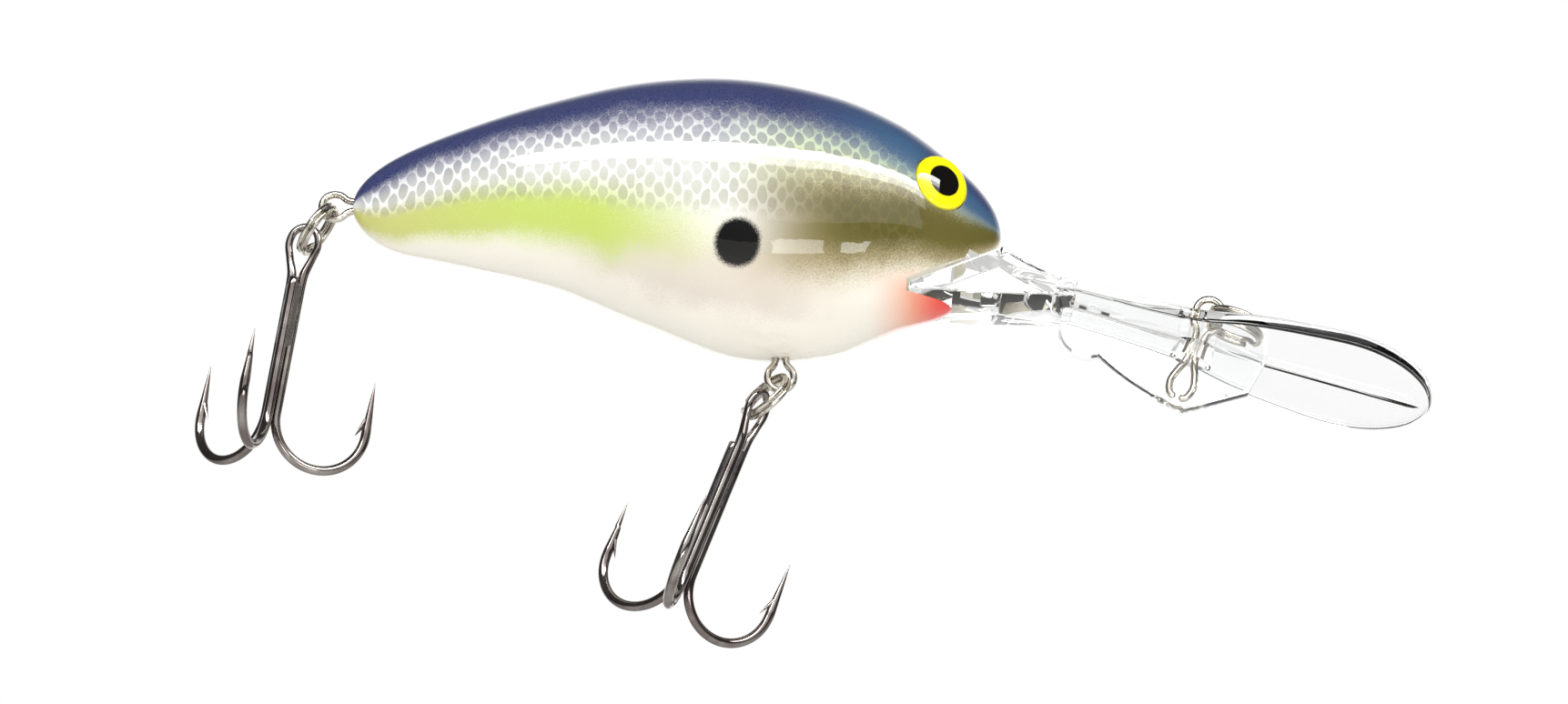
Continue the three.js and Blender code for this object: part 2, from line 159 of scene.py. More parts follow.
HOOK_SHANK, HOOK_REACH, HOOK_BOTTOM, HOOK_TIP, HOOK_CONE = 0.72, 11.6, 27.0, 14.5, 6.0
HOOK_EYE, SHANK_TOP, SHANK_START, CAD_HOOK_WIRE = 1.75, 4.6, 5.6, 0.6
DOUBLE_ANGLES, SINGLE_ANGLE = (math.radians(30), math.radians(150)), math.radians(-90)
BRAZE_TOP, BRAZE_END, BRAZE_SHIFT = 5.0, 13.0, -0.04
HANGERS = {  # eye's centre, way to the anchor, distance and extra length of the anchor loop
    "line_tie_wire": (Vector((0, 0, 0)), TIE_DIRECTION, 9.3, 0.55),
    "belly_hanger": (Vector((-49.9, 0, -7.96)), Vector((0, 0, 1)), 5.4, 0),
    "tail_hanger": (Vector((-102.2, 0, 12.95)), Vector((1, 0, 0.02)).normalized(), 6.2, 0),
}
RINGS = {  # link point, way to the far side, way the wire crosses the hole, angle of the step
    "line_ring": (HANGERS["line_tie_wire"][0], (0.93, 0, -0.36), (0, 1, 0), 40),
    "belly_ring": (HANGERS["belly_hanger"][0], (-0.5, -0.35, -0.79), (-0.47, 0.87, 0.18), 70),
    "tail_ring": (HANGERS["tail_hanger"][0], (-0.57, 0, -0.82), (0, 1, 0), 70),
}
TREBLES = {  # ring, tilt and turn in degrees, slack in the ring
    "belly_treble": ("belly_ring", 21.5, -120, 0.9),
    "tail_treble": ("tail_ring", 8.5, -8, 1.0),
}


def mm(value):
    """A property's metres in millimetres."""
    return value / MM


def clamp(value, low=0.0, high=1.0):
    return max(low, min(high, value))


def station_angle(x):
    return math.acos(clamp((CENTRE_X - x) / HALF_LENGTH, -1.0))


STATION_ANGLES = [station_angle(row[0]) for row in STATIONS]


def profile(column, angle):
    """Smooth curve through one column of the stations, read at a ring angle."""
    last = len(STATIONS) - 1
    i = 0
    while i < last - 1 and STATION_ANGLES[i + 1] < angle:
        i += 1

    def slope(k):
        a, b = max(k - 1, 0), min(k + 1, last)
        rise = STATIONS[b][column] - STATIONS[a][column]
        return rise / (STATION_ANGLES[b] - STATION_ANGLES[a])

    span = STATION_ANGLES[i + 1] - STATION_ANGLES[i]
    t = (angle - STATION_ANGLES[i]) / span
    rise = t * t * (3 - 2 * t)
    return (STATIONS[i][column] * (1 - rise) + STATIONS[i + 1][column] * rise
            + span * t * (1 - t) * ((1 - t) * slope(i) - t * slope(i + 1)))


def section(angle):
    """Middle height, half height and half width of the body at a ring angle."""
    back, belly = profile(1, angle), profile(2, angle)
    return (back + belly) / 2, (back - belly) / 2, profile(3, angle)


def flank_y(x, z):
    middle, height, width = section(station_angle(x))
    return width * (1 - abs((z - middle) / height) ** SECTION_POWER) ** (1 / SECTION_POWER)


# ---- modelling helpers ----
def of_kind(geom, kind):
    """The elements of one kind among those an operator gives back."""
    return [g for g in geom if isinstance(g, kind)]


def everything(bm):
    return bm.verts[:] + bm.edges[:] + bm.faces[:]


def turned_to(direction):
    """Turns the Z axis to a direction."""
    return Vector((0, 0, 1)).rotation_difference(direction).to_matrix().to_4x4()


def bend_points(a, b, c, count):
    """Points after a on a quadratic curve to c that bends towards b."""
    runs = [k / count for k in range(1, count + 1)]
    return [tuple((1 - t) ** 2 * p + 2 * t * (1 - t) * q + t * t * r for p, q, r in zip(a, b, c))
            for t in runs]


def smooth_path(points, count):
    """Evenly spaced points on a centripetal curve through the given ones."""
    knots = [Vector(p) for p in points]
    ends = [2 * knots[0] - knots[1]] + knots + [2 * knots[-1] - knots[-2]]
    dense = []
    for i in range(1, len(ends) - 2):
        p0, p1, p2, p3 = ends[i - 1:i + 3]
        d0, d1, d2 = (max((b - a).length, 1e-6) ** 0.5 for a, b in ((p0, p1), (p1, p2), (p2, p3)))
        m1 = ((p1 - p0) / d0 - (p2 - p0) / (d0 + d1) + (p2 - p1) / d1) * d1
        m2 = ((p2 - p1) / d1 - (p3 - p1) / (d1 + d2) + (p3 - p2) / d2) * d1
        for k in range(24):
            t = k / 24
            dense.append(p1 * (2 * t ** 3 - 3 * t ** 2 + 1) + m1 * (t ** 3 - 2 * t ** 2 + t)
                         + p2 * (3 * t ** 2 - 2 * t ** 3) + m2 * (t ** 3 - t ** 2))
    dense.append(knots[-1])
    return even_path(dense, count)


def even_path(dense, count):
    """Resamples a dense line of points at even distances."""
    run = [0.0]
    for a, b in zip(dense, dense[1:]):
        run.append(run[-1] + (b - a).length)
    even, j = [], 0
    for k in range(count + 1):
        at = run[-1] * k / count
        while j < len(run) - 2 and run[j + 1] < at:
            j += 1
        share = (at - run[j]) / max(run[j + 1] - run[j], 1e-9)
        even.append(dense[j].lerp(dense[j + 1], clamp(share)))
    return even


def sweep(path, radii, sides, flat=1.0, facing=None, bm=None):
    """Extrudes a round section along a path, with a radius at each of its points."""
    bm = bmesh.new() if bm is None else bm
    count = len(path)
    tangents = [(path[min(i + 1, count - 1)] - path[max(i - 1, 0)]).normalized()
                for i in range(count)]
    side = facing if facing is not None else tangents[0].orthogonal()
    edges, before = None, None
    for i in range(count):
        side = (side - tangents[i] * side.dot(tangents[i])).normalized()
        across = tangents[i].cross(side)
        turn = Matrix((side, across, tangents[i])).transposed().to_4x4()
        here = (Matrix.Translation(path[i]) @ turn
                @ Matrix.Diagonal((radii[i], radii[i] * flat, 1, 1)))
        if i == 0:
            verts = bmesh.ops.create_circle(bm, segments=sides, radius=1, cap_ends=False,
                                            matrix=here)["verts"]
            edges = list({e for v in verts for e in v.link_edges})
            first = edges
        else:
            made = bmesh.ops.extrude_edge_only(bm, edges=edges)["geom"]
            verts = of_kind(made, bmesh.types.BMVert)
            edges = [e for e in of_kind(made, bmesh.types.BMEdge)
                     if e.verts[0] in verts and e.verts[1] in verts]
            bmesh.ops.transform(bm, matrix=here @ before.inverted(), verts=verts)
        before = here
    bmesh.ops.contextual_create(bm, geom=first)
    bmesh.ops.contextual_create(bm, geom=edges)
    return bm


def rounded_ends(radii, step, radius):
    """Rounds both ends of a list of radii that stand a step apart."""
    shaped = list(radii)
    for i in range(len(shaped)):
        from_end = min(i, len(shaped) - 1 - i) * step
        if from_end < radius:
            shaped[i] *= max(0.25, math.sqrt(max(0.0, 1 - (1 - from_end / radius) ** 2)))
    return shaped


def soften(bm, angle):
    """Shades curved faces smoothly, keeps broad flat ones flat and sharp edges crisp."""
    broad_sides, broad_area = 9, 2.5
    for face in bm.faces:
        face.smooth = len(face.verts) < broad_sides or face.calc_area() < broad_area
    limit = math.radians(angle)
    for edge in bm.edges:
        edge.smooth = edge.calc_face_angle(0.0) < limit


def finish_piece(name, bm, materials, body, replaced=(), angle=50):
    """Makes the finished object of a bmesh drawn in millimetres."""
    bmesh.ops.remove_doubles(bm, verts=bm.verts, dist=1e-4)
    bmesh.ops.recalc_face_normals(bm, faces=bm.faces)
    soften(bm, angle)
    bmesh.ops.scale(bm, vec=(MM, MM, MM), verts=bm.verts)
    mesh = bpy.data.meshes.new(name)
    bm.to_mesh(mesh)
    bm.free()
    piece = bpy.data.objects.new(name, mesh)
    bpy.context.scene.collection.objects.link(piece)
    for material in materials:
        mesh.materials.append(material)
    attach(piece, body)
    if replaced:
        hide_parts(*replaced)
    return piece


def body_solid(inset, rings, around):
    """The body's skin moved inwards by an inset, from a sphere with its poles on X."""
    bm = bmesh.new()
    bmesh.ops.create_uvsphere(bm, u_segments=around, v_segments=rings, radius=1,
                              matrix=Matrix.Rotation(math.pi / 2, 4, "Y"))
    shrink = 1 - inset / HALF_LENGTH
    for vert in bm.verts:
        x, y, z = vert.co
        middle, height, width = section(math.acos(clamp(-x, -1.0)))
        radial = math.hypot(y, z)
        cy, cz = (y / radial, z / radial) if radial > 1e-6 else (0.0, 0.0)
        power = (abs(cy) ** SECTION_POWER + abs(cz) ** SECTION_POWER or 1) ** (-1 / SECTION_POWER)
        vert.co = (CENTRE_X + HALF_LENGTH * shrink * x,
                   max(width - inset, 0.02) * cy * power,
                   middle + max(height - inset, 0.02) * cz * power)
    bmesh.ops.recalc_face_normals(bm, faces=bm.faces)
    return bm


def plate(outline, low, high, axis="Y"):
    """A plate between two heights along an axis, from an outline in the other two."""
    bm = bmesh.new()
    verts = [bm.verts.new((a, low, b) if axis == "Y" else (a, b, low)) for a, b in outline]
    face = bm.faces.new(verts)
    made = bmesh.ops.extrude_face_region(bm, geom=[face])["geom"]
    lift = (0, high - low, 0) if axis == "Y" else (0, 0, high - low)
    bmesh.ops.translate(bm, vec=lift, verts=of_kind(made, bmesh.types.BMVert))
    bmesh.ops.recalc_face_normals(bm, faces=bm.faces)
    return bm


def combine(base, tools, operation):
    """Returns base joined with, or cut by, each tool in turn. All are bmeshes and are used up."""
    made = []
    for bm in [base] + tools:
        mesh = bpy.data.meshes.new("work")
        bm.to_mesh(mesh)
        bm.free()
        made.append(bpy.data.objects.new("work", mesh))
        bpy.context.scene.collection.objects.link(made[-1])
    for tool in made[1:]:
        cut = made[0].modifiers.new("cut", "BOOLEAN")
        cut.operation = operation
        cut.solver = "EXACT"
        cut.object = tool
    shaped = made[0].evaluated_get(bpy.context.evaluated_depsgraph_get())
    mesh = bpy.data.meshes.new_from_object(shaped)
    result = bmesh.new()
    result.from_mesh(mesh)
    bpy.data.meshes.remove(mesh)
    for piece in made:
        mesh = piece.data
        bpy.data.objects.remove(piece)
        bpy.data.meshes.remove(mesh)
    return result


def slope_matrix():
    """Lays a plate drawn flat along the board's slope."""
    return Matrix.Translation((0, 0, LIP_Z)) @ Matrix.Rotation(LIP_SLOPE, 4, "Y")


def tongue_plate(gap):
    """The tongue that holds the lip in the body, or its slot when it is given a gap."""
    end, half, thick = TONGUE_END / math.cos(LIP_SLOPE) - gap, TONGUE_HALF + gap, TONGUE_THICK / 2
    bm = plate([(end, -half), (TONGUE_ROOT, -half), (TONGUE_ROOT, half), (end, half)],
               -thick - gap, thick + gap, "Z")
    bmesh.ops.transform(bm, matrix=slope_matrix(), verts=bm.verts)
    return bm


def eye_place(side):
    """Centre of the eye on the skin and the way it looks, on one side of the body."""
    forward, up = math.radians(EYE_FORWARD), math.radians(EYE_UP)
    normal = Vector((math.sin(forward) * math.cos(up), side * math.cos(forward) * math.cos(up),
                     math.sin(up)))
    return Vector((EYE_X, side * flank_y(EYE_X, EYE_Z), EYE_Z)), normal


def wire_path(name, count=160):
    """Points along a bent wire: an anchor loop at one end and an eye at the other."""
    centre, axis, anchor, extra = HANGERS[name]
    across = Vector((axis.z, 0, -axis.x))
    half = [
        (0.22, anchor + ANCHOR_RADIUS + extra), (0.95, anchor + ANCHOR_RADIUS * 0.8 + extra),
        (ANCHOR_RADIUS, anchor + extra * 0.6), (1.05, anchor - ANCHOR_RADIUS * 0.9),
        (LEG_OFFSET, anchor - ANCHOR_RADIUS * 1.9), (LEG_OFFSET, WIRE_EYE + 1.0),
        (LEG_OFFSET + 0.22, WIRE_EYE + 0.05), (WIRE_EYE * 0.93, WIRE_EYE * 0.45),
        (WIRE_EYE, -WIRE_EYE * 0.2), (WIRE_EYE * 0.7, -WIRE_EYE * 0.76),
    ]
    line = half + [(0, -WIRE_EYE * 1.03)] + [(-side, run) for side, run in reversed(half)]
    return smooth_path([centre + across * side + axis * run for side, run in line], count)


# ---- materials ----
def fill(tree, inputs, values):
    """Sets or links inputs, in order from a tuple, or by name or number from a dict."""
    for key, value in values.items() if isinstance(values, dict) else enumerate(values):
        if isinstance(value, bpy.types.NodeSocket):
            tree.links.new(value, inputs[key])
        else:
            inputs[key].default_value = value


def node(tree, kind, values=(), **settings):
    """Adds a node with its settings, fills its inputs, and returns its outputs."""
    made = tree.nodes.new("ShaderNode" + kind)
    for key, value in settings.items():
        setattr(made, key, value)
    fill(tree, made.inputs, values)
    return made.outputs


def new_finish(name, **sockets):
    """A material with a Principled shader whose plain values are set on its own sockets."""
    material = bpy.data.materials.new(name)
    material.use_nodes = True
    tree = material.node_tree
    shader = tree.nodes["Principled BSDF"]
    fill(tree, shader.inputs, {key.replace("_", " "): value for key, value in sockets.items()})
    return material, tree, shader


def paint(colour):
    """Opaque linear value of a hex code or a colour property; a socket stays as it is."""
    if isinstance(colour, bpy.types.NodeSocket):
        return colour
    return (*(linear(colour) if isinstance(colour, str) else colour), 1.0)


def mottle(tree, size_mm, **sockets):
    """Noise with features of a real size, fixed to the piece."""
    place = node(tree, "TexCoord")["Object"]
    return node(tree, "TexNoise", {"Vector": place, "Scale": 1000 / size_mm, **sockets})[0]


def band(value, low, low_soft, high, high_soft):
    """The two edges of a band, each with its own softness, for a mask."""
    return (value, low - low_soft, low + low_soft), (value, high + high_soft, high - high_soft)


def mask(tree, *factors):
    """Product of numbers, sockets and soft edges, given as (value, where 0, where 1)."""
    result = None
    for factor in factors:
        if isinstance(factor, tuple):
            factor = node(tree, "MapRange", factor, interpolation_type="SMOOTHSTEP")[0]
        result = factor if result is None else node(
            tree, "Math", (result, factor), operation="MULTIPLY")[0]
    return result


def spray(tree, under, colour, *factors):
    """Lays one coat of paint over what is under it, through a mask of these factors."""
    cover = mask(tree, *factors)
    return node(tree, "Mix", {"Factor": cover, 6: paint(under), 7: paint(colour)},
                data_type="RGBA")[2]


def height_over(tree, high, along, points):
    """Height above a paint edge that runs along the body, 0 at the belly and 1 at the back."""
    edge = node(tree, "FloatCurve", {"Value": along})[0]
    mapping = edge.node.mapping
    curve = mapping.curves[0]
    curve.points[0].location = points[0]
    curve.points[1].location = points[-1]
    for point in points[1:-1]:
        curve.points.new(*point)
    mapping.update()
    return node(tree, "Math", (high, edge), operation="SUBTRACT")[0]


def scale_net(tree, along_mm, girth_mm, pitch):
    """Net of scales: how deep a place is in its cell, and a random value for each cell."""
    # The rows stand half a pitch apart and are shifted by half a cell, like knotless netting.
    flat = node(tree, "CombineXYZ", (along_mm, girth_mm, 0.0))[0]
    # Slight drift of the stretched net, over about 2 mm.
    drift = node(tree, "TexNoise", {"Vector": flat, "Scale": 0.45, "Detail": 1.0},
                 noise_dimensions="2D")["Color"]
    moved = node(tree, "VectorMath", (drift, (0.8, 0.8, 0.0), flat), operation="MULTIPLY_ADD")[0]
    unit = node(tree, "VectorMath", (moved, (1 / pitch, 1 / pitch, 0.0)),
                operation="MULTIPLY")[0]
    lattices = []
    for shift in (0.5, 1.0):
        offset = node(tree, "VectorMath", (unit, (shift, shift, 0.0)), operation="ADD")[0]
        cell = node(tree, "VectorMath", (offset,), operation="FLOOR")[0]
        away = node(tree, "VectorMath", (offset, (0.5, 0.5, 0.0)), operation="SUBTRACT")[0]
        away = node(tree, "VectorMath", (away, cell), operation="SUBTRACT")[0]
        # A cell is an upright oval whose sides are drawn flat by the crossing threads.
        oval = node(tree, "VectorMath", (away, (3.75, 2.5, 0.0)), operation="MULTIPLY")[0]
        oval = node(tree, "VectorMath", (oval,), operation="LENGTH")["Value"]
        sides = node(tree, "VectorMath", (away,), operation="ABSOLUTE")[0]
        sides = node(tree, "VectorMath", (sides, (2.08, 2.08, 0.0)),
                     operation="DOT_PRODUCT")["Value"]
        depth = node(tree, "Math", (oval, sides, 0.12), operation="SMOOTH_MAX")[0]
        lattices.append((depth, cell))
    (first, cell_a), (second, cell_b) = lattices
    close = node(tree, "Math", (first, second), operation="MINIMUM")[0]
    pick = node(tree, "Math", (first, second), operation="LESS_THAN")[0]
    marked = node(tree, "VectorMath", (cell_b, (37.5, 11.5, 5.5)), operation="ADD")[0]
    owner = node(tree, "Mix", {"Factor": pick, 4: marked, 5: cell_a}, data_type="VECTOR")[1]
    chance = node(tree, "TexWhiteNoise", {"Vector": owner}, noise_dimensions="2D")["Value"]
    # Soft edge of a cell, where the overspray creeps under the net.
    return mask(tree, (close, 1.1, 0.86)), chance


def painted_body(sizes):
    """Airbrushed acrylic on moulded ABS under a gloss clear coat.

    A pearl base shows through a net of scales; soft-edged coats of paint lie over it, with the
    fine grain of an airbrush, and the clear coat gives sharp highlights over all. A warm grey band
    of painted shade darkens the lower flank.
    """
    material, tree, shader = new_finish(
        "airbrushed_pearl_abs", Roughness=0.4, IOR=1.5, Specular_IOR_Level=0.08,
        Coat_Weight=1.0, Coat_Roughness=0.03, Coat_IOR=1.5)
    skin = node(tree, "Attribute", attribute_name="skin")["Vector"]
    along_mm, girth_mm, rise = node(tree, "SeparateXYZ", (skin,))
    # Airbrush droplets: 0.16 mm, a little coarser than real ones so that they show.
    grain = mottle(tree, 0.16, Detail=2.0, Roughness=0.7)
    grainy = node(tree, "MapRange", (grain, 0.3, 0.7, -0.035, 0.035))[0]
    # Uneven hand of the painter: cloudy changes over about 6 mm.
    cloudy = node(tree, "MapRange", (mottle(tree, 6, Detail=2.0), 0.3, 0.7, -0.02, 0.02))[0]
    rough_edge = node(tree, "Math", (grainy, cloudy), operation="ADD")[0]
    high = node(tree, "Math", (rise, rough_edge), operation="ADD")[0]
    along = node(tree, "MapRange", (along_mm, TAIL_X, NOSE_X))[0]

    # Pearl base: silver flank over a cream belly, with a warm grey band of painted shade between
    # them that stands for darker surroundings reflected in the lower flank.
    base = spray(tree, sizes.cream, sizes.silver, (high, 0.2, 0.5))
    # Painted shade, not the lure's own paint: a warm grey darkening of the lower flank between the
    # silver and the cream.
    base = spray(tree, base, "#CCC0B4", *band(high, 0.08, 0.05, 0.3, 0.08),
                 *band(along_mm, -72.0, 8.0, -44.0, 8.0), 0.7)
    # Chartreuse of the rear flank, fading out at the middle of the body.
    over_low = height_over(tree, high, along, [
        (0, 0.02), (0.1, 0.08), (0.25, 0.12), (0.4, 0.14), (0.5, 0.19), (0.6, 0.26), (1, 0.4)])
    over_net = height_over(tree, high, along, [
        (0, 0.26), (0.1, 0.31), (0.2, 0.335), (0.3, 0.34), (0.4, 0.35), (0.5, 0.375),
        (0.6, 0.4), (0.7, 0.4), (0.8, 0.33), (0.85, 0.27), (1, 0.22)])
    tail = node(tree, "MapRange", (along_mm, -80.0, -98.0))[0]
    lime = spray(tree, sizes.lime, "#BDBE6A", tail)
    base = spray(tree, base, lime, (over_net, 0.18, -0.04), (over_low, -0.06, 0.09),
                 (along_mm, -52.0, -72.0), 0.94)
    # Mint blush over the shoulder, then the olive gold of the cheek down to a tan edge.
    base = spray(tree, base, "#C3D9A6", *band(along_mm, -53.0, 8.0, -20.0, 5.0),
                 *band(high, 0.5, 0.1, 0.82, 0.06), 0.75)
    base = spray(tree, base, "#A8955E", *band(along_mm, -51.0, 8.0, -10.0, 5.0),
                 *band(high, 0.195, 0.085, 0.62, 0.12), 0.85)
    olive = mask(tree, *band(along_mm, -49.0, 7.5, -10.0, 5.0),
                 *band(high, 0.255, 0.09, 0.545, 0.085), 0.98)
    base = spray(tree, base, sizes.olive, olive)

    # Scales: smoky overspray through a net that lies over the flank, darker towards the back.
    cells, chance = scale_net(tree, along_mm, girth_mm, mm(sizes.scale_pitch))
    over_back = height_over(tree, high, along, [
        (0, 0.66), (0.04, 0.70), (0.1, 0.755), (0.2, 0.775), (0.35, 0.79), (0.46, 0.80),
        (0.56, 0.81), (0.66, 0.812), (0.73, 0.815), (0.8, 0.80), (0.88, 0.74), (0.95, 0.66),
        (1, 0.6)])
    uneven = node(tree, "MapRange", (chance, 0.0, 1.0, 0.5, 0.74))[0]
    upper = mask(tree, (over_back, -0.3, -0.06))
    dense = node(tree, "MapRange", (upper, 0.0, 1.0, 0.62, 1.0))[0]
    smoke = spray(tree, sizes.smoke, "#686780", upper)
    smoke = spray(tree, smoke, "#48441A", olive)
    base = spray(tree, base, smoke, (over_net, -0.02, 0.05), (over_back, 0.05, -0.03),
                 *band(along_mm, -99.4, 0.8, -33.5, 2.0), cells, uneven, dense)

    # Last coats, each over the one before.
    navy = mask(tree, (over_back, -0.11, 0.045))
    speckle = node(tree, "MapRange", (grain, 0.35, 0.65, 0.86, 1.0))[0]
    height = node(tree, "SeparateXYZ", (node(tree, "TexCoord")["Object"],))[2]
    z_mm = node(tree, "Math", (height, 1000.0), operation="MULTIPLY")[0]
    below = mask(tree, (z_mm, 3.2, 0.6))
    for colour, *cover in (
            # Teal that joins the back's blue to the cheek.
            (sizes.teal, (along_mm, -48.0, -33.0), (over_back, -0.2, 0.0), 0.88),
            # Lavender haze under the navy of the back, then the navy itself.
            ("#7D7C92", (over_back, -0.17, 0.03), 0.7),
            (sizes.back, navy, speckle),
            # The navy turns greener towards the eye, and darker along the ridge.
            ("#45708F", (along_mm, -50.0, -34.0), (over_back, 0.26, 0.02), navy, 0.6),
            ("#1E2547", (high, 0.93, 1.03), 0.6),
            # Throat: peach that deepens to red at the tip of the jaw.
            ("#F2A583", (along_mm, -40.5, -33.5), below, 0.9),
            (sizes.throat, (along_mm, -36.5, -30.5), below)):
        base = spray(tree, base, colour, *cover)

    # Soft black spot behind the shoulder.
    at = node(tree, "CombineXYZ", (along_mm, z_mm, 0.0))[0]
    away = node(tree, "VectorMath", (at, SPOT_PLACE), operation="DISTANCE")["Value"]
    fuzzy = node(tree, "Math", (rough_edge, 6.0, away), operation="MULTIPLY_ADD")[0]
    radius = mm(sizes.spot_radius)
    base = spray(tree, base, sizes.spot, (fuzzy, radius + 0.6, radius - 0.15))

    # Fine pearl grain over everything, and the clear coat's orange peel, 1.2 mm across.
    pearl = node(tree, "MapRange", (grain, 0.25, 0.75, 0.94, 1.05))[0]
    final = node(tree, "VectorMath", {0: base, "Scale": pearl}, operation="SCALE")[0]
    peel = mottle(tree, 1.2, Detail=1.0)
    relief = node(tree, "Bump", {"Height": peel, "Strength": 0.06, "Distance": 0.0002})[0]
    fill(tree, shader.inputs, {"Base Color": final, "Coat Normal": relief, "Normal": relief})
    return material


def moulded_abs():
    """Moulded white ABS, bare inside the shell and in the mouth: satin with faint flow marks."""
    material, tree, shader = new_finish("moulded_white_abs", Roughness=0.38, IOR=1.53)
    flow = mottle(tree, 3, Detail=3.0)
    fill(tree, shader.inputs, {"Base Color": spray(tree, "#EFEBDD", "#E2DDCB", flow)})
    return material


def clear_polycarbonate():
    """Moulded clear polycarbonate: a sharp gloss, with fine handling scratches that blur it."""
    material, tree, shader = new_finish(
        "clear_moulded_polycarbonate", Base_Color=paint("#FCFDFD"), IOR=1.5,
        Transmission_Weight=1.0)
    # Hair scratches 0.4 mm apart, long along the board.
    place = node(tree, "TexCoord")["Object"]
    along = node(tree, "Mapping", {"Vector": place, "Scale": (0.12, 1.0, 1.0),
                                   "Rotation": (0.0, 0.0, 0.25)})[0]
    hairs = node(tree, "TexNoise", {"Vector": along, "Scale": 1000 / 0.4, "Detail": 4.0})[0]
    rough = node(tree, "MapRange", (hairs, 0.62, 0.78, 0.012, 0.16))[0]
    fill(tree, shader.inputs, {"Roughness": rough})
    return material


def plated_metal(name, colours, rough_low, rough_high, spread_mm):
    """Plated steel wire: a mirror finish whose tone and polish drift along the wire."""
    material, tree, shader = new_finish(name, Metallic=1.0)
    tone = node(tree, "MapRange", (mottle(tree, spread_mm, Detail=3.0), 0.38, 0.62))[0]
    # Draw marks and pores of the plating, 0.12 mm.
    pores = mottle(tree, 0.12, Detail=2.0)
    rough = node(tree, "MapRange", (pores, 0.35, 0.7, rough_low, rough_high))[0]
    fill(tree, shader.inputs, {"Base Color": spray(tree, *colours, tone), "Roughness": rough})
    return material


def brazed_joint():
    """Brass braze under black nickel: satin, slightly lumpy, darker in its hollows."""
    material, tree, shader = new_finish("plated_braze", Metallic=1.0)
    lumps = mottle(tree, 0.5, Detail=4.0)
    fill(tree, shader.inputs, {
        "Base Color": spray(tree, "#5E5C5E", "#8A8888", lumps),
        "Roughness": node(tree, "MapRange", (lumps, 0.3, 0.7, 0.38, 0.55))[0],
        "Normal": node(tree, "Bump", {"Height": lumps, "Strength": 0.35,
                                      "Distance": 0.0001})[0]})
    return material


def printed_eye(side):
    """Printed vinyl disc under a clear epoxy dome: a bright ring, a black pupil, wet gloss."""
    material, tree, shader = new_finish(
        f"epoxy_domed_eye_{'left' if side > 0 else 'right'}", Roughness=0.3, IOR=1.5,
        Specular_IOR_Level=0.0, Coat_Weight=1.0, Coat_Roughness=0.01, Coat_IOR=1.56)
    at, normal = eye_place(side)
    # Distance from the disc's own axis.
    place = node(tree, "TexCoord")["Object"]
    moved = node(tree, "VectorMath", (place, tuple(at * MM)), operation="SUBTRACT")[0]
    local = node(tree, "Mapping", {"Vector": moved, "Scale": (1000.0, 1000.0, 1000.0)})[0]
    along = node(tree, "VectorMath", (local, tuple(normal)), operation="DOT_PRODUCT")["Value"]
    axial = node(tree, "VectorMath", {0: tuple(normal), "Scale": along}, operation="SCALE")[0]
    planar = node(tree, "VectorMath", (local, axial), operation="SUBTRACT")[0]
    away = node(tree, "VectorMath", (planar,), operation="LENGTH")["Value"]
    ring = spray(tree, "#F6EA06", "#FDF31A", mottle(tree, 0.25, Detail=2.0))
    ring = spray(tree, ring, "#B9B52E",
                 (away, EYE_RADIUS - 0.22, EYE_RADIUS - 0.05), 0.7)
    pupil = node(tree, "MapRange", (away, 2.02, 1.9))[0]
    fill(tree, shader.inputs, {"Base Color": spray(tree, ring, "#080706", pupil)})
    return material


def lapped_steel():
    """Bearing steel of the rattle balls and the ballast: polished, with fine lapping marks."""
    material, tree, shader = new_finish("lapped_bearing_steel", Metallic=1.0)
    laps = mottle(tree, 0.3, Detail=3.0)
    fill(tree, shader.inputs, {
        "Base Color": spray(tree, "#A7A7A9", "#8E8E92", laps),
        "Roughness": node(tree, "MapRange", (laps, 0.3, 0.7, 0.18, 0.3))[0]})
    return material


def studio_floor():
    """Matt white painted board."""
    material, tree, shader = new_finish("matt_white_board", Roughness=0.9)
    brush = mottle(tree, 60, Detail=3.0)
    fill(tree, shader.inputs, {"Base Color": spray(tree, "#F2F1EF", "#ECEBE8", brush)})
    return material


